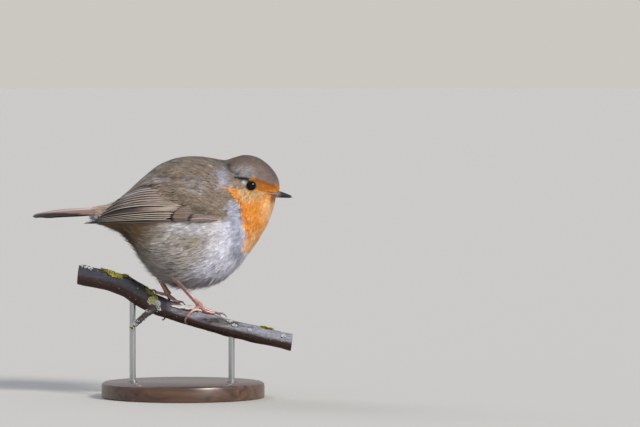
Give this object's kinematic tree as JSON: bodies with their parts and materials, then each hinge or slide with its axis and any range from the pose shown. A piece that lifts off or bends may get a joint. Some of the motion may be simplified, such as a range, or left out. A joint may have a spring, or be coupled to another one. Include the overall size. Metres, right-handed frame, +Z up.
{
  "type": "perched robin on display stand",
  "caption": "Life-size European robin, puffed up and perched on a short cut length of hazel branch, held by slim rods above a round display base. Still model.",
  "frame": {"origin": "centre of the round base's underside, on the surface that it stands on", "axes": "+Z up, +X the way the bill points, +Y the bird's left side"},
  "size_m": [0.1341, 0.084, 0.1252],
  "materials": {
    "face_feathers": "short soft plumage, matt",
    "nape_feathers": "soft plumage, matt",
    "body_feathers": "loose soft plumage, matt",
    "wing_feathers": "close flight feathers, faint sheen",
    "tail_feathers": "close flight feathers, faint sheen",
    "eye": "wet gloss",
    "bill_horn": "smooth horn, satin",
    "claw_horn": "smooth horn, satin",
    "leg_skin": "fine scaled skin, satin",
    "bark": "thin smooth bark with lichen, matt",
    "base_wood": "turned and waxed, satin",
    "rod_steel": "drawn rod, satin"
  },
  "bodies": {
    "root": {"bill_lower": "bill_horn", "bill_upper": "bill_horn", "claw_left_hind": "claw_horn", "claw_left_inner": "claw_horn", "claw_left_middle": "claw_horn", "claw_left_outer": "claw_horn", "claw_right_hind": "claw_horn", "claw_right_inner": "claw_horn", "claw_right_middle": "claw_horn", "claw_right_outer": "claw_horn", "eye_left": "eye", "eye_right": "eye", "head": "face_feathers", "neck": "nape_feathers", "perch_branch": "bark", "perch_twig": "bark", "stand_base": "base_wood", "stand_rod_1": "rod_steel", "stand_rod_2": "rod_steel", "tail": "tail_feathers", "tarsus_left": "leg_skin", "tarsus_right": "leg_skin", "toe_left_hind": "leg_skin", "toe_left_inner": "leg_skin", "toe_left_middle": "leg_skin", "toe_left_outer": "leg_skin", "toe_right_hind": "leg_skin", "toe_right_inner": "leg_skin", "toe_right_middle": "leg_skin", "toe_right_outer": "leg_skin", "trunk": "body_feathers", "wing_left_coverts": "wing_feathers", "wing_left_primaries": "wing_feathers", "wing_left_secondaries": "wing_feathers", "wing_right_coverts": "wing_feathers", "wing_right_primaries": "wing_feathers", "wing_right_secondaries": "wing_feathers"}
  },
  "joints": []
}
